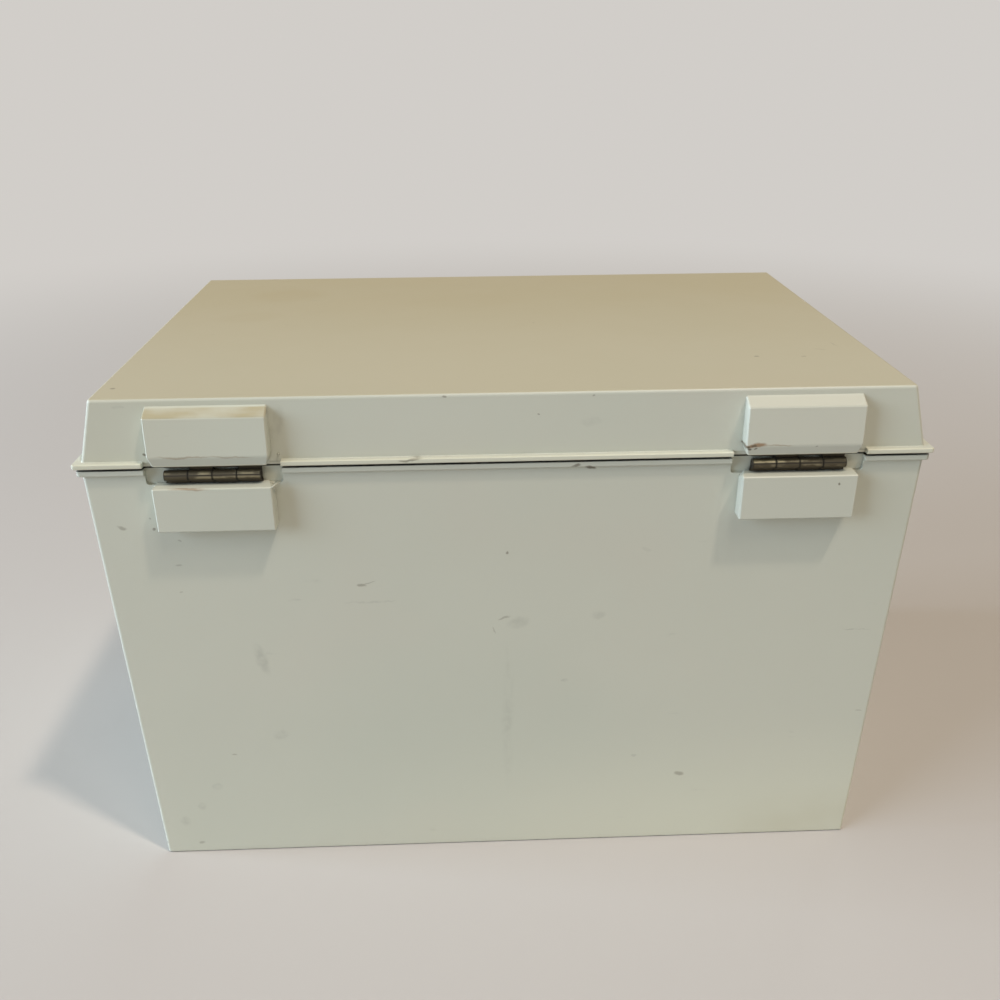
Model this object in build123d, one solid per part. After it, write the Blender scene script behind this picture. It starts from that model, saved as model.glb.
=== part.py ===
from build123d import *
import os
from math import cos, radians, sin

# Index card box: a moulded base and a hinged lid, joined at the rear by two one-inch
# butt hinges whose leaves are moulded into raised pads.
# Millimetres. +Z is up, the front faces -Y and the hinges are at the rear, at +Y.
# While it is built, X and Y start at the middle of the rim. Heights called "over the
# rim" or "under the rim" start at the parting plane, where the lid meets the base.

# ---- Driving sizes: shells ---------------------------------------------------------
rim_width = 224.5
rim_depth = 146.4
base_height = 134.1            # table to parting plane
base_draft = 3.05              # each base wall leans in this much down to the table
base_wall = 2.7
floor_thickness = 2.7
base_corner_radius = 1.0
base_inner_radius = 1.6
base_foot_radius = 0.5         # round of the outer bottom edge
standing_rim_width = 4.0       # the base stands on a narrow rim round a shallow recess
standing_rim_height = 0.6

lid_rise = 19.2                # parting plane to the top face of the lid
parting_gap = 0.8              # the hinges hold the lid this far off the base
lid_end_slope = 4.65           # lean of the two end walls over the height of the lid
lid_front_slope = 4.65
lid_rear_slope = 0.5           # nearly upright, because it carries the hinge pads
lid_wall = 2.6
lid_top_thickness = 2.6
lid_corner_radius = 1.0
lid_top_radius = 0.9
lid_inner_radius = 1.2

# ---- Driving sizes: flanges and the lip inside them --------------------------------
base_flange_overhang = 1.0
base_flange_thickness = 1.5
lid_flange_overhang = 1.75
lid_flange_thickness = 1.35
flange_corner_radius = 0.9
flange_edge_bevel = 0.2
flange_root_radius = 0.25       # where a flange meets its wall

lip_height = 2.5               # upstand of the base that centres the closed lid
lip_thickness = 1.0
lip_clearance = 0.4            # between the lip and the rebate in the lid
lip_corner_radius = 2.0
lip_edge_chamfer = 0.3

thumb_notch_width = 30.0       # gap in the front flange that lets a thumb under the lid
thumb_notch_height = 4.5
thumb_notch_depth = 0.8

# ---- Driving sizes: hinges ---------------------------------------------------------
hinge_inset = 34.45            # from the end of the rim to the middle of a hinge
hinge_length = 25.4            # one-inch butt hinge
leaf_length = 12.7             # from the pin's axis to the free edge of a leaf
leaf_thickness = 0.6
leaf_corner_radius = 1.5
leaf_cutout_clearance = 0.4    # between a knuckle and the cut-out in the facing leaf
barrel_radius = 1.45
knuckle_count = 4
knuckle_gap = 0.15             # side play between neighbouring knuckles
pin_clearance = 0.05           # radial, where a lid knuckle turns on the pin
pin_end_chamfer = 0.25
curl_end_angle = 120.0         # where the rolled edge of a knuckle stops, short of its leaf
anchor_hole_radius = 1.6       # the plastic runs through these holes and locks the leaf
anchor_hole_spacing = 13.0
anchor_hole_height = 7.6       # from the pin's axis
hinge_outboard = 0.7           # pin's axis behind the rear wall
hinge_drop = 1.6               # pin's axis under the rim

hinge_notch_width = 36.0
hinge_notch_height = 4.55      # under the rim
hinge_notch_depth = 1.0        # into the rear wall of the base, where the leaves lie
notch_corner_radius = 1.0

# ---- Driving sizes: hinge pads -----------------------------------------------------
pad_width = 31.2
pad_edge_bevel = 0.3
pad_root = 1.4                 # how far a pad's block runs into the wall that carries it

base_pad_outboard = 4.2
base_pad_top = 4.05            # under the rim
base_pad_bottom = 16.7         # under the rim
base_pad_facet = 1.3           # facet on the inner top corner, at the wall

lid_pad_outboard = 4.1         # at the front of the bevel
lid_pad_lean = 0.75            # the face leans in this much from the bevel to the shoulder
lid_pad_bottom = 1.7           # over the rim
lid_pad_bevel_height = 2.9
lid_pad_bevel_depth = 1.0
lid_pad_end_bevel = 0.9
lid_pad_shoulder = 15.2        # over the rim, top of the face
lid_pad_top = 17.2             # over the rim, where the slope meets the wall

# ---- Places worked out from the driving sizes --------------------------------------
rear_wall_y = rim_depth / 2
hinge_y = rear_wall_y + hinge_outboard
hinge_z = base_height - hinge_drop
lid_bottom_z = base_height + parting_gap
lid_height = lid_rise - parting_gap
lip_inset = base_wall - lip_thickness
rebate_wall = lip_inset - lip_clearance
rebate_height = lip_height     # leaves the parting gap over the lip
pin_radius = barrel_radius - leaf_thickness - pin_clearance
knuckle_pitch = hinge_length / knuckle_count
hinge_x = rim_width / 2 - hinge_inset
hinge_places = {"left": -hinge_x, "right": hinge_x}

# The box is moved so that the origin is the bottom centre of its overall size.
front_reach = rim_depth / 2 + lid_flange_overhang
rear_reach = rim_depth / 2 + max(base_pad_outboard, lid_pad_outboard)
shell_y = (front_reach - rear_reach) / 2
tiny = 0.01                    # tells one level from another when edges are picked


def prism_along_x(outline, length):
    """Solid of one (y, z) outline, centred on X."""
    return extrude(Plane.YZ * Polygon(*outline, align=None), length / 2, both=True)


def prism_along_y(outline, length):
    """Solid of one (x, z) outline, centred on Y."""
    return extrude(Plane.XZ * Polygon(*outline, align=None), length / 2, both=True)


def sloped_block(width, depth, height, end_slope, front_slope, rear_slope):
    """Flat-sided block from z = 0 to height, whose walls lean in by their slopes."""
    ends = prism_along_y(
        [(-width / 2, 0), (width / 2, 0), (width / 2 - end_slope, height), (end_slope - width / 2, height)],
        depth,
    )
    sides = prism_along_x(
        [(-depth / 2, 0), (depth / 2, 0), (depth / 2 - rear_slope, height), (front_slope - depth / 2, height)],
        width,
    )
    return ends & sides


def upright_edges(block):
    """Edges that run from the bottom of a block to its top, leaning or not."""
    rise = block.bounding_box().size.Z / 2
    return block.edges().filter_by(lambda edge: abs((edge @ 1 - edge @ 0).Z) > rise)


def rounded_plate(width, depth, radius, low, high):
    """Flat plate with rounded corners between two heights."""
    outline = RectangleRounded(width, depth, radius)
    return extrude(Pos(0, 0, low) * outline, high - low)


def rim_plate(overhang, radius, low, high):
    """Plate that reaches past the rim's outline by overhang, or inside it if negative."""
    return rounded_plate(rim_width + 2 * overhang, rim_depth + 2 * overhang, radius, low, high)


def join_flange(body, flange, seat):
    """Joins a flange to its walls, with a round at the root along its face at height seat."""
    shell = body + flange
    level = shell.edges().filter_by_position(Axis.Z, seat - tiny, seat + tiny)
    root = level.filter_by(
        lambda edge: abs(edge.center().X) < rim_width / 2 + tiny and abs(edge.center().Y) < rear_wall_y + tiny
    )
    return fillet(root, flange_root_radius)


def notch_block(width, height, depth):
    """Block that cuts a notch in the rear of the rim, with round lower corners."""
    outline = Plane.XZ * RectangleRounded(width, 2 * height, notch_corner_radius)
    reach = depth + base_flange_overhang + lid_flange_overhang
    return Pos(0, rear_wall_y - depth + reach, base_height) * extrude(outline, reach)


def at_hinges(block):
    """The same block at both hinges."""
    return [Pos(x, 0, 0) * block for x in hinge_places.values()]


# ---- Hinge: two rolled leaves on a pin ---------------------------------------------
def knuckle(direction, wall_radius):
    """One rolled knuckle on the X axis: the leaf runs off it along Z, on its wall side."""
    bore_radius = wall_radius - leaf_thickness
    far = 2 * wall_radius
    curl_end = (far * cos(radians(curl_end_angle)), far * sin(radians(curl_end_angle)))
    ring = Circle(wall_radius) - Circle(bore_radius)
    ring -= Polygon((0, 0), curl_end, (-far, far), (-far, 0), align=None)
    run = wall_radius + leaf_cutout_clearance
    strip = Pos(leaf_thickness / 2 - wall_radius, run / 2) * Rectangle(leaf_thickness, run)
    section = ring + strip
    if direction < 0:
        section = mirror(section, about=Plane.XZ)
    return extrude(Plane.YZ * section, (knuckle_pitch - knuckle_gap) / 2, both=True)


def leaf(direction, wall_radius, first_knuckle):
    """A whole leaf on the X axis, going up (+1) or down (-1) from the pin."""
    start = wall_radius + leaf_cutout_clearance
    outline = Pos(0, (start + leaf_length) / 2) * Rectangle(hinge_length, leaf_length - start)
    outline = fillet(outline.vertices().group_by(Axis.Y)[-1], leaf_corner_radius)
    for side in (-1, 1):
        outline -= Pos(side * anchor_hole_spacing / 2, anchor_hole_height) * Circle(anchor_hole_radius)
    plate = Pos(0, leaf_thickness - wall_radius, 0) * extrude(Plane.XZ * outline, leaf_thickness)
    if direction < 0:
        plate = mirror(plate, about=Plane.XY)
    rolled = plate
    for index in range(first_knuckle, knuckle_count, 2):
        x = (index + 0.5) * knuckle_pitch - hinge_length / 2
        rolled += Pos(x, 0, 0) * knuckle(direction, wall_radius)
    return rolled


def hinge_pin():
    """Pin through all the knuckles, fast in the base leaf."""
    pin = Rot(0, 90, 0) * Cylinder(pin_radius, hinge_length)
    return chamfer(pin.edges().filter_by(GeomType.CIRCLE), pin_end_chamfer)


# The base knuckles grip the pin and the lid knuckles turn on it.
base_leaf = Pos(0, hinge_y, hinge_z) * leaf(-1, barrel_radius - pin_clearance, 1)
lid_leaf = Pos(0, hinge_y, hinge_z) * leaf(1, barrel_radius, 0)
pin = Pos(0, hinge_y, hinge_z) * hinge_pin()


# ---- Base --------------------------------------------------------------------------
def base_pad():
    """Flat-topped raised pad under the left hinge, with a facet that widens towards the wall."""
    top = base_height - base_pad_top
    bottom = base_height - base_pad_bottom
    face = rear_wall_y + base_pad_outboard
    root = rear_wall_y - pad_root
    pad = prism_along_x([(root, bottom), (face, bottom), (face, top), (root, top)], pad_width)
    pad = chamfer(pad.edges(), pad_edge_bevel)
    corner = (pad_width / 2, face, top)
    facet = Plane(origin=corner, z_dir=(base_pad_outboard, -base_pad_facet, base_pad_outboard))
    return split(pad, bisect_by=facet, keep=Keep.BOTTOM)


def make_base():
    """Open-topped moulded box with its flange, lip, notches and hinge pads."""
    body = sloped_block(rim_width, rim_depth, -base_height, base_draft, base_draft, base_draft)
    body = Pos(0, 0, base_height) * body
    body = fillet(upright_edges(body), base_corner_radius)
    body = fillet(body.edges().group_by(Axis.Z)[0], base_foot_radius)

    lip_top = base_height + lip_height
    depth = lip_top - floor_thickness
    slope = base_draft * depth / base_height
    mouth_wall = base_wall - base_draft * lip_height / base_height
    mouth_width = rim_width - 2 * mouth_wall
    mouth_depth = rim_depth - 2 * mouth_wall
    room = Pos(0, 0, lip_top) * sloped_block(mouth_width, mouth_depth, -depth, slope, slope, slope)
    room = fillet(upright_edges(room), base_inner_radius)
    room = fillet(room.edges().group_by(Axis.Z)[0], base_inner_radius)

    flange_low = base_height - base_flange_thickness
    flange = rim_plate(base_flange_overhang, flange_corner_radius, flange_low, base_height)
    flange = chamfer(flange.edges().group_by(Axis.Z)[0], flange_edge_bevel)

    lip = rim_plate(-lip_inset, lip_corner_radius, flange_low, lip_top)
    lip = chamfer(lip.edges().group_by(Axis.Z)[-1], lip_edge_chamfer)

    notch = notch_block(hinge_notch_width, hinge_notch_height, hinge_notch_depth)
    thumb = notch_block(thumb_notch_width, thumb_notch_height, thumb_notch_depth)
    thumb = mirror(thumb, about=Plane.XZ)

    foot_width = rim_width - 2 * base_draft - 2 * standing_rim_width
    foot_depth = rim_depth - 2 * base_draft - 2 * standing_rim_width
    hollow = rounded_plate(foot_width, foot_depth, base_inner_radius, 0, standing_rim_height)

    shell = join_flange(body, flange, flange_low)
    shell -= at_hinges(notch)
    shell -= thumb
    shell += lip
    shell -= [room, hollow]
    pad = Pos(hinge_places["left"], 0, 0) * base_pad()
    shell += [pad, mirror(pad, about=Plane.YZ)]
    return shell - at_hinges(base_leaf)


# ---- Lid ---------------------------------------------------------------------------
def lid_pad():
    """Raised pad over a hinge: bevelled below, with a leaning face and a sloped top."""
    bottom = base_height + lid_pad_bottom
    fold = bottom + lid_pad_bevel_height
    shoulder = base_height + lid_pad_shoulder
    top = base_height + lid_pad_top
    face = rear_wall_y + lid_pad_outboard
    wall_at_top = rear_wall_y - lid_rear_slope * (lid_pad_top - parting_gap) / lid_height
    root = wall_at_top - pad_root
    run_up = (top - shoulder) / (face - lid_pad_lean - wall_at_top)
    side = [
        (root, bottom),
        (face - lid_pad_bevel_depth, bottom),
        (face, fold),
        (face - lid_pad_lean, shoulder),
        (wall_at_top, top),
        (root, top + run_up * pad_root),
    ]
    half = pad_width / 2
    half_low = half - lid_pad_end_bevel
    ceiling = top + lid_rise
    front = [(-half_low, bottom), (half_low, bottom), (half, fold), (half, ceiling), (-half, ceiling), (-half, fold)]
    pad = prism_along_x(side, pad_width) & prism_along_y(front, 2 * face)
    return chamfer(pad.edges(), pad_edge_bevel)


def make_lid():
    """Shallow moulded lid with sloping walls, its flange, rebate and hinge pads."""
    up = Pos(0, 0, lid_bottom_z)
    body = up * sloped_block(rim_width, rim_depth, lid_height, lid_end_slope, lid_front_slope, lid_rear_slope)
    body = fillet(upright_edges(body), lid_corner_radius)
    body = fillet(body.edges().group_by(Axis.Z)[-1], lid_top_radius)

    depth = lid_height - lid_top_thickness
    share = depth / lid_height
    room = up * sloped_block(
        rim_width - 2 * lid_wall,
        rim_depth - 2 * lid_wall,
        depth,
        lid_end_slope * share,
        lid_front_slope * share,
        lid_rear_slope * share,
    )
    room = fillet(upright_edges(room), lid_inner_radius)
    room = fillet(room.edges().group_by(Axis.Z)[-1], lid_inner_radius)

    flange_top = lid_bottom_z + lid_flange_thickness
    flange = rim_plate(lid_flange_overhang, flange_corner_radius, lid_bottom_z, flange_top)
    flange = chamfer(flange.edges().group_by(Axis.Z)[0], flange_edge_bevel)
    flange = chamfer(flange.edges().group_by(Axis.Z)[-1], flange_edge_bevel)
    notch = Pos(0, rear_wall_y, lid_bottom_z) * Box(hinge_notch_width, 4 * lid_flange_overhang, 4 * lid_flange_thickness)
    leaf_inset = barrel_radius - hinge_outboard - leaf_thickness
    recess_rise = lid_pad_bottom - parting_gap
    recess = Pos(0, rear_wall_y, lid_bottom_z) * Box(hinge_notch_width, 2 * leaf_inset, 2 * recess_rise)

    rebate = rim_plate(-rebate_wall, lip_corner_radius, lid_bottom_z, lid_bottom_z + rebate_height)

    shell = join_flange(body, flange, flange_top)
    for cut in at_hinges(notch):
        shell -= cut - body
    shell -= at_hinges(recess)
    shell += at_hinges(lid_pad())
    shell -= [room, rebate]
    return shell - at_hinges(lid_leaf)


parts = {"base": make_base(), "lid": make_lid()}
for side, x in hinge_places.items():
    parts["base_leaf_" + side] = Pos(x, 0, 0) * base_leaf
    parts["lid_leaf_" + side] = Pos(x, 0, 0) * lid_leaf
    parts["hinge_pin_" + side] = Pos(x, 0, 0) * pin

os.makedirs("parts", exist_ok=True)
for name, part in parts.items():
    export_step(Pos(0, shell_y, 0) * part, "parts/" + name + ".step")
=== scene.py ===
from functools import reduce
from math import atan2, hypot, pi, radians

import bmesh
import bpy
from mathutils import Matrix, Vector


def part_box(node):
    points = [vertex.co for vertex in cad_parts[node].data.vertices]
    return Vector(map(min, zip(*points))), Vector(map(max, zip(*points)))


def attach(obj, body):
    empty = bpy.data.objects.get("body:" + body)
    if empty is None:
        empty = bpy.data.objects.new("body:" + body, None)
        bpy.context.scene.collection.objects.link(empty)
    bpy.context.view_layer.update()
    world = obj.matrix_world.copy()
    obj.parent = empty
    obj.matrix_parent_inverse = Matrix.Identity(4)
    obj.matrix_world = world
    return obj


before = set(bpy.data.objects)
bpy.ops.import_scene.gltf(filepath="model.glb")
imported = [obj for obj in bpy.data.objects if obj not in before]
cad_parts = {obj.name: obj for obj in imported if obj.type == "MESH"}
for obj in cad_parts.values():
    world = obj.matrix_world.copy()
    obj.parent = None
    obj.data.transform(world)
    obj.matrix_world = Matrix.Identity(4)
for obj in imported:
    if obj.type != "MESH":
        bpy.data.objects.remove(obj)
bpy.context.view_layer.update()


# ---- Base -----------------------------------------------------------------------------
# The open-topped box that holds the cards: injection-moulded ivory plastic, decades old,
# gone slightly grey and green, with grime and painted shade in its corners and the marks of long use.
mm = 0.001


class Shade:
    """An output of a shader node. Maths on it adds nodes to the same material."""

    def __init__(self, tree, outlet):
        self.tree = tree
        self.outlet = outlet

    def node(self, kind, settings, inlets, outlet=0):
        """Adds a node: its settings first, then the values or links of its sockets."""
        made = self.tree.nodes.new("ShaderNode" + kind)
        for setting, value in settings.items():
            setattr(made, setting, value)
        for socket, value in inlets.items():
            if isinstance(value, Shade):
                self.tree.links.new(value.outlet, made.inputs[socket])
            else:
                made.inputs[socket].default_value = value
        return Shade(self.tree, made.outputs[outlet])

    def maths(self, operation, *values):
        return self.node("Math", {"operation": operation}, dict(enumerate(values)))

    def __add__(self, other):
        return self.maths("ADD", self, other)

    def __sub__(self, other):
        return self.maths("SUBTRACT", self, other)

    def __rsub__(self, other):
        return self.maths("SUBTRACT", other, self)

    def __mul__(self, other):
        return self.maths("MULTIPLY", self, other)

    def __or__(self, other):
        """The stronger of two masks."""
        return self.maths("MAXIMUM", self, other)

    __radd__ = __add__
    __rmul__ = __mul__

    def rise(self, low, high):
        """0 below low, 1 above high, with a soft step between."""
        settings = {"interpolation_type": "SMOOTHSTEP"}
        return self.node("MapRange", settings, {"Value": self, "From Min": low, "From Max": high})

    def band(self, low, high, soft):
        """1 between low and high, fading to 0 over soft outside them."""
        return self.rise(low - soft, low) * (1 - self.rise(high, high + soft))

    def noise(self, size, detail=2.0, stretch=(1, 1, 1), shift=(0, 0, 0)):
        """Cloudy noise about 0.5 whose blotches are about size metres across."""
        place = self.node("Mapping", {}, {"Vector": self, "Scale": stretch, "Location": shift})
        return self.node("TexNoise", {}, {"Vector": place, "Scale": 1 / size, "Detail": detail})

    def blend(self, colour, other):
        """The first colour where this mask is 0 and the other where it is 1."""
        return self.node("Mix", {"data_type": "RGBA"}, {0: self, 6: colour, 7: other}, outlet=2)

    def tint(self, other, share):
        """This colour, turned into the other one by a mask."""
        return share.blend(self, other)

    def length(self):
        """How far a vector is from the middle."""
        return self.node("VectorMath", {"operation": "LENGTH"}, {0: self}, outlet="Value")

    def plus(self, other):
        """The sum of two vectors."""
        return self.node("VectorMath", {"operation": "ADD"}, {0: self, 1: other})

    def ellipse(self, centre, end, width, soft=0.6):
        """Soft mark on a flat face, from centre out to end and as wide as width, all in mm."""
        reach = hypot(end[0] - centre[0], end[1] - centre[1])
        turn = atan2(end[1] - centre[1], end[0] - centre[0])
        inlets = {
            "Vector": self,
            "Location": (centre[0] * mm, centre[1] * mm, 0),
            "Rotation": (0, 0, turn),
            "Scale": (reach * mm, width / 2 * mm, 1),
        }
        local = self.node("Mapping", {"vector_type": "TEXTURE"}, inlets)
        return 1 - local.length().rise(1 - soft, 1)

    def hidden(self, reach):
        """How shut in a spot is by what stands within reach of it: 0 in the open, 1 deep in a gap."""
        return 1 - self.node("AmbientOcclusion", {"samples": 6}, {"Distance": reach}, outlet="AO")


def new_material(name):
    """A material with a Principled shader, and the object's own coordinates in it."""
    material = bpy.data.materials.new(name)
    material.use_nodes = True
    tree = material.node_tree
    place = Shade(tree, tree.nodes.new("ShaderNodeTexCoord").outputs["Object"])
    return material, tree.nodes["Principled BSDF"], place


def dress(node, material):
    """Gives a whole CAD node one material."""
    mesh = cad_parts[node].data
    mesh.materials.clear()
    mesh.materials.append(material)


def link(value, shader, socket):
    """Feeds a socket of the Principled shader."""
    value.tree.links.new(value.outlet, shader.inputs[socket])


def split(place):
    """The x, y and z of a place."""
    apart = place.node("SeparateXYZ", {}, {"Vector": place}).outlet.node.outputs
    return [Shade(place.tree, apart[axis]) for axis in "XYZ"]


def flattened(place, across, up):
    """Two of its three coordinates as a flat x and y, warped so that no mark is neat."""
    warp = 1.8 * mm
    flat = place.node("CombineXYZ", {}, {"X": across, "Y": up})
    wobble = place.node("TexNoise", {}, {"Vector": place, "Scale": 300.0, "Detail": 4.0}, outlet="Color")
    centred = wobble.plus((-0.5, -0.5, -0.5))
    return flat.plus(place.node("VectorMath", {"operation": "SCALE"}, {0: centred, "Scale": warp}))


def strongest(flat, marks):
    """The strongest of a list of marks: centre, end, width, strength."""
    masks = [strength * flat.ellipse(centre, end, width) for centre, end, width, strength in marks]
    return reduce(Shade.__or__, masks)


def scuffed(place, shift=(0, 0, 0)):
    """Faint scuffs all over, longer across than up."""
    return 0.25 * place.noise(0.004, detail=5.0, stretch=(0.4, 1, 1.4), shift=shift).rise(0.68, 0.82)


IVORY = (0.607, 0.615, 0.530, 1)
GREY_IVORY = (0.564, 0.590, 0.508, 1)
PINK_IVORY = (0.622, 0.596, 0.515, 1)
PALE_IVORY = (0.705, 0.710, 0.585, 1)
# The grime colour also paints shade in recesses, and the deep grime colour paints near-black shade deep
# in gaps.
GRIME_AND_SHADE = (0.130, 0.105, 0.065, 1)
DEEP_SHADE_BLACK = (0.012, 0.010, 0.008, 1)
SMUDGE = (0.230, 0.235, 0.205, 1)
SUNNED = (0.400, 0.335, 0.185, 1)
RUST = (0.260, 0.130, 0.045, 1)


def aged_plastic(name, paler, sunned, smudges, specks, rust):
    """Aged ivory plastic. Each argument but the name is a function from place to mask."""
    material, shader, place = new_material(name)
    cloud = place.noise(0.085, detail=1.5).rise(0.35, 0.75)
    colour = (0.7 * cloud).blend(IVORY, GREY_IVORY)
    blush = place.noise(0.05, detail=1.0, shift=(3.1, 0.4, 1.7)).rise(0.55, 0.80)
    colour = colour.tint(PINK_IVORY, 0.35 * blush)
    # On the base the paler mask paints bounce light from the table on the foot.
    colour = colour.tint(PALE_IVORY, paler(place)).tint(SUNNED, sunned(place))

    # Grime and painted shade in corners and recesses, darker the more shut in a spot is; deep in gaps,
    # such as between lid and base, the painted shade turns nearly black.
    hidden = place.hidden(2.5 * mm)
    patchy = place.noise(0.006, detail=4.0).rise(0.35, 0.70)
    grime_and_shade = hidden.rise(0.30, 0.85) * (0.15 + 0.45 * patchy)
    painted_deep_shade = hidden.rise(0.62, 0.84)
    colour = colour.tint(GRIME_AND_SHADE, grime_and_shade).tint(DEEP_SHADE_BLACK, painted_deep_shade)

    smudged = smudges(place)
    specked = specks(place)
    mottle = 0.4 + 0.9 * place.noise(0.0025, detail=4.0, shift=(6, 2, 4)).rise(0.35, 0.65)
    colour = colour.tint(SMUDGE, 0.55 * smudged * mottle)
    colour = colour.tint(RUST, rust(place))
    colour = colour.tint(GRIME_AND_SHADE, 0.9 * specked)
    link(colour, shader, "Base Color")

    gloss_cloud = place.noise(0.03, detail=3.0, shift=(0.7, 2.2, 0.1))
    roughness = 0.38 + 0.14 * gloss_cloud + 0.15 * smudged + 0.25 * grime_and_shade
    link(roughness, shader, "Roughness")

    peel = place.noise(0.0016, detail=2.0)
    waves = place.noise(0.018, detail=1.0)
    height = 0.6 * peel + 4.0 * waves
    rounded = place.node("Bevel", {"samples": 4}, {"Radius": 0.22 * mm})
    bump = {"Height": height, "Distance": 0.02 * mm, "Strength": 1.0, "Normal": rounded}
    link(place.node("Bump", {}, bump), shader, "Normal")
    shader.inputs["IOR"].default_value = 1.49
    return material


hinge_pad_depth = 4.2 * mm
rear_wall_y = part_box("base")[1].y - hinge_pad_depth
lid_low, lid_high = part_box("lid")
parting_z = lid_low.z

# Marks on the rear of the base: centre, end and width in mm, then strength.
# x is from the middle of the box, z from the table.
BASE_SMUDGES = [
    ((71.8, 73.5), (73.4, 80.0), 4.6, 0.34),
    ((-2.5, 83.5), (-6.5, 84.5), 5.0, 0.30),
    ((-26.0, 85.5), (-28.6, 85.8), 3.2, 0.22),
    ((-16.5, 63.0), (-18.0, 63.0), 1.6, 0.35),
    ((38.7, 91.8), (48.0, 91.6), 0.9, 0.25),
    ((68.7, 45.8), (71.5, 45.0), 4.5, 0.25),
    ((90.3, 26.4), (92.5, 26.0), 4.0, 0.25),
    ((96.0, 18.7), (98.0, 18.0), 3.6, 0.25),
    ((102.2, 12.9), (104.5, 12.5), 5.0, 0.25),
    ((-38.5, 106.8), (-40.5, 106.4), 1.6, 0.35),
    ((-101.7, 78.4), (-106.8, 78.2), 0.45, 0.45),
    ((-38.8, 33.9), (-40.0, 33.9), 1.4, 0.35),
]
BASE_SPECKS = [
    ((104.4, 117.1), (106.0, 117.7), 1.3, 0.45),
    ((96.5, 119.5), (97.0, 119.6), 0.9, 0.45),
    ((95.7, 116.2), (96.3, 116.2), 1.1, 0.65),
    ((89.4, 112.7), (90.0, 112.9), 0.8, 0.35),
    ((90.7, 105.0), (92.0, 105.0), 0.9, 0.30),
    ((91.3, 96.3), (92.0, 96.4), 0.7, 0.25),
    ((41.2, 97.2), (42.9, 97.4), 1.4, 0.50),
    ((39.0, 98.0), (41.3, 97.1), 0.5, 0.35),
    ((0.5, 106.5), (1.1, 106.5), 0.9, 0.65),
    ((1.4, 85.3), (-0.6, 86.0), 1.0, 0.38),
    ((4.3, 81.3), (4.9, 82.8), 0.6, 0.30),
    ((-53.4, 26.0), (-55.2, 25.5), 2.4, 0.45),
    ((-18.0, 133.2), (-19.6, 133.4), 1.0, 0.80),
    ((-21.8, 132.4), (-23.8, 132.1), 1.4, 0.95),
    ((98.0, 3.9), (99.2, 4.0), 1.2, 0.35),
    ((109.2, 4.0), (109.9, 4.2), 1.5, 0.40),
    ((83.5, 39.0), (84.4, 39.0), 0.8, 0.35),
    ((-88.4, 127.3), (-88.9, 127.4), 0.9, 0.85),
    ((-107.3, 48.6), (-108.8, 48.7), 0.5, 0.40),
]


def rear_outside(y, z):
    """1 on the outside of the rear wall and its pads. The wall leans in towards the table."""
    lean = 3.05 / 134.1
    return (y - lean * z).rise(rear_wall_y - 4.6 * mm, rear_wall_y - 4.1 * mm)


def base_bounce_light(place):
    """Painted bounce light from the table on the foot, strongest on the right of the view."""
    x, y, z = split(place)
    return (1 - z.rise(4 * mm, 55 * mm)) * (0.15 + 0.60 * (1 - x.rise(-90 * mm, 75 * mm)))


def base_sunned(place):
    """Faint yellow near one bottom corner and on the tops of the pads."""
    x, y, z = split(place)
    corner = (1 - z.rise(4 * mm, 22 * mm)) * (1 - x.rise(-92 * mm, -60 * mm))
    clouded = place.noise(0.03).rise(0.3, 0.6)
    on_pad = y.rise(rear_wall_y, rear_wall_y + 1 * mm)
    pad_top = z.band(parting_z - 5.1 * mm, parting_z - 4.6 * mm, 0.1 * mm) * on_pad
    return 0.16 * rear_outside(y, z) * corner * clouded | 0.10 * pad_top


def base_smudges(place):
    """The placed smudges, a brushed streak down the middle of the rear, and scuffs."""
    x, y, z = split(place)
    flat = flattened(place, x, z)
    brushed = place.noise(0.0022, detail=3.0, stretch=(1, 1, 0.12)).rise(0.35, 0.70)
    streak = flat.ellipse((0.3, 51.0), (0.3, 86.0), 5.0, soft=1.0) * brushed
    return rear_outside(y, z) * (strongest(flat, BASE_SMUDGES) | 0.26 * streak) | scuffed(place)


def base_specks(place):
    """Small dark nicks and specks of dirt."""
    x, y, z = split(place)
    return rear_outside(y, z) * strongest(flattened(place, x, z), BASE_SPECKS)


def base_rust(place):
    """Brownish dirt on the top edge of the pad that is on the left in the view."""
    x, y, z = split(place)
    on_pad = y.rise(rear_wall_y + 3.2 * mm, rear_wall_y + 3.8 * mm)
    streak = flattened(place, x, z).ellipse((84.0, 129.9), (90.5, 129.9), 1.0, soft=0.8)
    return 0.6 * on_pad * streak


base_masks = (base_bounce_light, base_sunned, base_smudges, base_specks, base_rust)
base_plastic = aged_plastic("aged ivory plastic, base", *base_masks)
dress("base", base_plastic)


# ---- Lid ------------------------------------------------------------------------------
# The shallow hinged lid, of the same moulding plastic. Light has yellowed its top far
# more than its walls, and its flange and the tops of its pads have caught some of that.
# Marks are listed as on the base. Those of the top have y instead of z.
LID_SMUDGES = [
    ((100.0, 151.2), (102.5, 151.4), 0.9, 0.45),
    ((60.0, 146.0), (61.5, 140.0), 4.0, 0.25),
    ((-22.0, 145.0), (-26.0, 145.5), 3.0, 0.15),
]
LID_SPECKS = [
    ((95.0, 138.1), (95.6, 138.1), 1.1, 0.85),
    ((16.5, 152.4), (17.4, 152.5), 0.7, 0.60),
    ((-7.8, 147.4), (-8.3, 147.4), 0.6, 0.60),
    ((-22.0, 152.1), (-22.5, 152.1), 0.6, 0.50),
    ((26.0, 135.9), (30.0, 135.7), 0.9, 0.65),
    ((-62.6, 138.6), (-63.5, 138.7), 1.2, 1.00),
    ((-64.2, 138.8), (-65.1, 138.5), 0.9, 1.00),
    ((-63.1, 137.8), (-64.0, 137.6), 0.9, 1.00),
    ((-64.9, 137.8), (-65.5, 137.8), 0.7, 0.90),
    ((-81.0, 138.5), (-81.5, 138.7), 0.5, 0.60),
]
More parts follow.
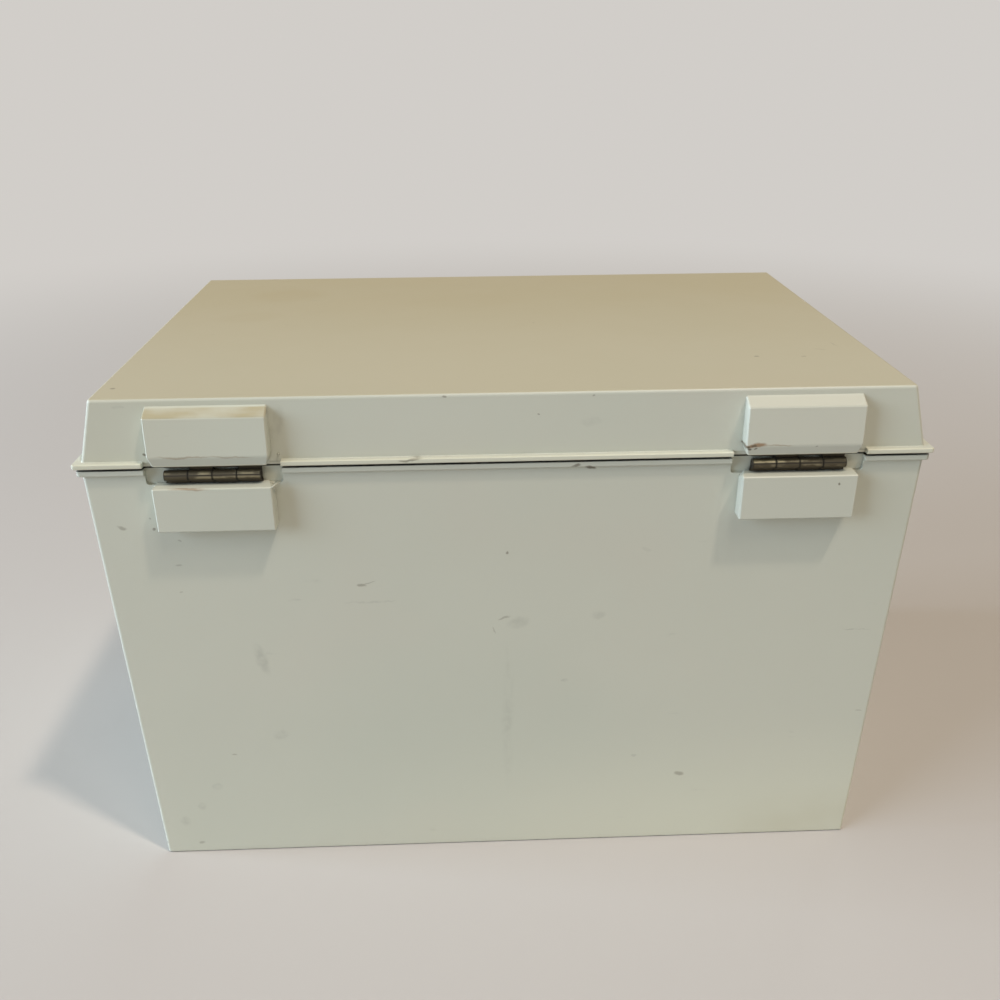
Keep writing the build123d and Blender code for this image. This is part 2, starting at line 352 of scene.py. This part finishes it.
LID_RUST = [
    ((-64.5, 138.8), (-68.7, 138.9), 1.6, 0.80),
    ((-71.0, 138.8), (-76.0, 138.8), 0.5, 0.40),
    ((84.0, 138.7), (93.0, 138.8), 0.7, 0.40),
    ((72.0, 138.6), (80.0, 138.7), 0.5, 0.35),
]
TOP_SPECKS = [
    ((-72.5, 43.2), (-73.5, 43.2), 1.3, 0.60),
    ((-86.0, 43.9), (-87.0, 43.9), 1.3, 0.40),
    ((-92.8, 37.1), (-95.0, 38.0), 0.9, 0.25),
    ((-98.7, 32.2), (-99.0, 35.0), 0.8, 0.25),
    ((103.5, 62.3), (104.3, 62.3), 1.2, 0.60),
    ((-11.3, 1.9), (-11.9, 1.9), 0.9, 0.30),
]
TOP_STAINS = [
    ((72.9, -41.7), (90.0, -38.0), 26.0, 0.55),
    ((81.4, -10.9), (95.0, -8.0), 18.0, 0.35),
    ((10.0, -30.0), (40.0, -28.0), 30.0, 0.25),
]


def lid_flange_face(y, z):
    """1 on the outer face of the lid's flange at the rear."""
    low = 1 - z.rise(parting_z + 1.3 * mm, parting_z + 1.6 * mm)
    return low * y.rise(rear_wall_y + 1 * mm, rear_wall_y + 1.3 * mm)


def lid_rear(y):
    """1 on the outside of the lid's rear wall and its pads."""
    return y.rise(rear_wall_y - 1.1 * mm, rear_wall_y - 0.8 * mm)


def lid_paler(place):
    """Paler on the outer face of the flange at the rear."""
    x, y, z = split(place)
    return 0.85 * lid_flange_face(y, z)


def lid_sunned(place):
    """The whole top, deepest at the front, and the slopes on top of the hinge pads."""
    x, y, z = split(place)
    on_top = z.rise(lid_high.z - 0.25 * mm, lid_high.z - 0.05 * mm)
    front = 1 - y.rise(-72 * mm, 66 * mm)
    stained = strongest(flattened(place, x, y), TOP_STAINS)
    top = on_top * (0.64 + 0.26 * front + 0.12 * stained)

    on_pad = y.rise(rear_wall_y, rear_wall_y + 0.3 * mm)
    pad_slope = z.band(parting_z + 14.4 * mm, parting_z + 17 * mm, 0.3 * mm) * on_pad
    left = x.rise(0, 50 * mm)
    blotches = place.noise(0.007, detail=4.0, stretch=(0.4, 1, 1)).rise(0.35, 0.65)
    tanned = pad_slope * (0.08 + left * (0.20 + 0.50 * blotches))

    # Yellower towards the end of the rear wall on the left of the view.
    wall_end = x.rise(60 * mm, 110 * mm) * y.rise(rear_wall_y - 2 * mm, rear_wall_y - 1 * mm)
    return top | tanned | 0.14 * wall_end | 0.06 * lid_flange_face(y, z)


def lid_smudges(place):
    """The placed smudges on the rear wall, and scuffs."""
    x, y, z = split(place)
    smudged = lid_rear(y) * strongest(flattened(place, x, z), LID_SMUDGES)
    return smudged | scuffed(place, shift=(1, 4, 2))


def lid_specks(place):
    """Small dark specks on the rear wall, the pads, the flange and the top."""
    x, y, z = split(place)
    on_top = z.rise(lid_high.z - 1.0 * mm, lid_high.z - 0.3 * mm)
    rear = lid_rear(y) * strongest(flattened(place, x, z), LID_SPECKS)
    return rear | on_top * strongest(flattened(place, x, y), TOP_SPECKS)


def lid_rust(place):
    """Brownish dirt along the bottom edges of the hinge pads."""
    x, y, z = split(place)
    on_pad = y.rise(rear_wall_y + 2.2 * mm, rear_wall_y + 2.8 * mm)
    return on_pad * strongest(flattened(place, x, z), LID_RUST)


lid_masks = (lid_paler, lid_sunned, lid_smudges, lid_specks, lid_rust)
lid_plastic = aged_plastic("aged ivory plastic, lid", *lid_masks)
dress("lid", lid_plastic)


# ---- Hinges ---------------------------------------------------------------------------
# Two small butt hinges of brass strip, stamped, rolled round a brass pin and moulded in.
# The brass has gone nearly black. Bands of painted reflection run along the knuckles, and painted shade
# fills the hollows.
BRASS = (0.420, 0.370, 0.240, 1)
TARNISH = (0.110, 0.092, 0.062, 1)
BRASS_BLACK = (0.012, 0.009, 0.006, 1)
pin_low, pin_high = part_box("hinge_pin_left")
pin_z = (pin_low.z + pin_high.z) / 2
hinge_x = abs(pin_low.x + pin_high.x) / 2
knuckle_length = 6.35 * mm


def aged_brass(name):
    """Tarnished strip, with painted reflections along the knuckles, dark seams and joints, and painted
    shade in its hollows.
    """
    material, shader, place = new_material(name)
    x, y, z = split(place)
    rolled = place.noise(0.0012, detail=3.0, stretch=(0.12, 1, 1))
    blotches = place.noise(0.004, detail=3.0, shift=(4, 2, 9))
    # Painted reflections: a bright band near the top of each knuckle and a weaker one at its middle,
    # broken up by noise.
    upper_reflection = z.band(pin_z + 0.75 * mm, pin_z + 1.10 * mm, 0.25 * mm)
    middle_reflection = z.band(pin_z - 0.35 * mm, pin_z + 0.05 * mm, 0.25 * mm)
    seam = z.band(pin_z + 0.35 * mm, pin_z + 0.45 * mm, 0.12 * mm)
    reflection_patches = (0.55 * rolled + 0.45 * blotches).rise(0.45, 0.60)
    painted_reflection = (upper_reflection | 0.7 * middle_reflection) * reflection_patches
    colour = (0.85 * painted_reflection).blend(TARNISH, BRASS)

    along = place.maths("ABSOLUTE", x) - hinge_x
    to_joint = place.maths("PINGPONG", along, knuckle_length / 2)
    joint = 1 - to_joint.rise(0.10 * mm, 0.50 * mm)
    # Painted shade where the brass is shut in, joined with the dark seam and the dark joints between
    # knuckles.
    hidden = place.hidden(0.9 * mm).rise(0.40, 0.80)
    seams_and_shade = hidden | 0.8 * seam | joint * (0.45 + 0.55 * rolled)
    colour = colour.tint(BRASS_BLACK, 0.95 * seams_and_shade)
    link(colour, shader, "Base Color")
    link(0.85 - 0.6 * seams_and_shade, shader, "Metallic")
    link(0.58 - 0.26 * painted_reflection + 0.2 * seams_and_shade, shader, "Roughness")
    bump = {"Height": rolled + 0.5 * blotches, "Distance": 0.03 * mm}
    link(place.node("Bump", {}, bump), shader, "Normal")
    return material


brass = aged_brass("tarnished brass")
for side in ("left", "right"):
    for piece in ("base_leaf_", "lid_leaf_", "hinge_pin_"):
        dress(piece + side, brass)


# ---- Moulding flash -------------------------------------------------------------------
# Two slivers of the same plastic that were squeezed out at the edges of the mould and
# never trimmed off: a whisker and a nub, both beside the hinge on the left of the view.
def flash_sliver(name, start, end, thickness, body, material):
    """A sliver that tapers from start to end, both in mm."""
    start, end = Vector(start) * mm, Vector(end) * mm
    run = end - start
    shape = bmesh.new()
    bmesh.ops.create_cone(
        shape,
        cap_ends=True,
        segments=10,
        radius1=thickness / 2 * mm,
        radius2=thickness / 6 * mm,
        depth=run.length,
    )
    bmesh.ops.rotate(shape, verts=shape.verts, matrix=run.to_track_quat("Z", "X").to_matrix())
    bmesh.ops.translate(shape, verts=shape.verts, vec=(start + end) / 2)
    bmesh.ops.recalc_face_normals(shape, faces=shape.faces)
    mesh = bpy.data.meshes.new(name)
    shape.to_mesh(mesh)
    shape.free()
    for face in mesh.polygons:
        face.use_smooth = True
    mesh.materials.append(material)
    sliver = bpy.data.objects.new(name, mesh)
    bpy.context.scene.collection.objects.link(sliver)
    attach(sliver, body)


flash_sliver("base_flash_whisker", (62.2, 75.9, 129.9), (60.4, 72.0, 130.2), 0.5, "base", base_plastic)
flash_sliver("lid_flash_nub", (60.4, 71.7, 137.6), (60.3, 72.6, 137.9), 0.8, "lid", lid_plastic)


# ---- Floor ----------------------------------------------------------------------------
# A plain pale table top under the box, which fades into the surround. It isn't part of
# the object.
FLOOR = (0.545, 0.520, 0.505, 1)
PALE = (0.640, 0.615, 0.585, 1)
BLACK = (0, 0, 0, 1)


def seen_directly(tree):
    """1 for what the camera, a reflection or a clear piece shows, 0 for light on things."""
    path = tree.nodes.new("ShaderNodeLightPath").outputs
    kinds = ("Is Camera Ray", "Is Glossy Ray", "Is Transmission Ray")
    return reduce(Shade.__or__, [Shade(tree, path[kind]) for kind in kinds])


floor_mesh = bpy.data.meshes.new("floor")
floor_shape = bmesh.new()
bmesh.ops.create_grid(floor_shape, x_segments=1, y_segments=1, size=30.0)
floor_shape.to_mesh(floor_mesh)
floor_shape.free()
floor = bpy.data.objects.new("floor", floor_mesh)
bpy.context.scene.collection.objects.link(floor)
floor_material, floor_shader, floor_place = new_material("pale table")
fade_start, fade_end = 0.35, 1.05
faded = floor_place.length().rise(fade_start, fade_end)
glow = faded * seen_directly(floor_material.node_tree)
link(faded.blend(FLOOR, BLACK), floor_shader, "Base Color")
link(glow.blend(BLACK, PALE), floor_shader, "Emission Color")
floor_shader.inputs["Emission Strength"].default_value = 1.0
floor_shader.inputs["Roughness"].default_value = 0.6
floor_shader.inputs["Specular IOR Level"].default_value = 0.0
floor_mesh.materials.append(floor_material)


# ---- Light ----------------------------------------------------------------------------
# Soft lamps: a warm one high on the right of the view, a weaker one overhead, two cool ones
# low on the left and a fill for the front, in a dim, warm surround that shows as pale.
def softbox(name, direction, distance, size, level, tint):
    """An area lamp aimed at the middle of the box. level is what it adds to a white face."""
    target = Vector((0, 0, 80 * mm))
    power = level * (pi * distance) ** 2
    lamp = bpy.data.lights.new(name, "AREA")
    lamp.shape = "SQUARE"
    lamp.size = size
    lamp.energy = power
    lamp.color = tint
    holder = bpy.data.objects.new(name, lamp)
    toward = Vector(direction).normalized()
    holder.location = target + toward * distance
    holder.rotation_euler = (-toward).to_track_quat("-Z", "Y").to_euler()
    bpy.context.scene.collection.objects.link(holder)
    return holder


softbox("warm lamp", (-0.31, 0.30, 0.92), 2.4, 0.14, 0.37, (1.0, 0.86, 0.72))
softbox("overhead lamp", (-0.17, 0.47, 0.86), 2.4, 0.60, 0.14, (1.0, 0.92, 0.80))
softbox("cool lamp", (0.80, 0.42, 0.33), 2.6, 1.40, 0.54, (0.86, 1.06, 1.27))
softbox("cool side lamp", (0.97, -0.02, 0.20), 2.6, 0.60, 0.60, (0.86, 1.06, 1.27))
front_fill = softbox("front fill", (-0.50, -0.86, 0.02), 2.6, 0.50, 0.36, (0.97, 1.0, 1.0))
front_fill.visible_glossy = False

AMBIENT = (0.290, 0.255, 0.195, 1)
world = bpy.data.worlds.new("surround")
bpy.context.scene.world = world
world.use_nodes = True
surround = seen_directly(world.node_tree).blend(AMBIENT, PALE)
link(surround, world.node_tree.nodes["Background"], "Color")


# ---- Camera ---------------------------------------------------------------------------
# It looks down on the rear of the box from a little to one side.
camera = bpy.data.objects.new("camera", bpy.data.cameras.new("camera"))
bpy.context.scene.collection.objects.link(camera)
bpy.context.scene.camera = camera
camera.data.sensor_width = 36.0
camera.data.lens = 36.04
camera.data.clip_start = 0.01
camera_place = Vector((11.3, 317.6, 235.7)) * mm
pitch_down = radians(24.62)
yaw = radians(2.09)
roll = radians(-0.37)
turned = Matrix.Rotation(radians(180) - yaw, 4, "Z")
tipped = Matrix.Rotation(radians(90) - pitch_down, 4, "X")
rolled_over = Matrix.Rotation(roll, 4, "Z")
camera.matrix_world = Matrix.Translation(camera_place) @ turned @ tipped @ rolled_over

bpy.context.scene.view_settings.view_transform = "Standard"
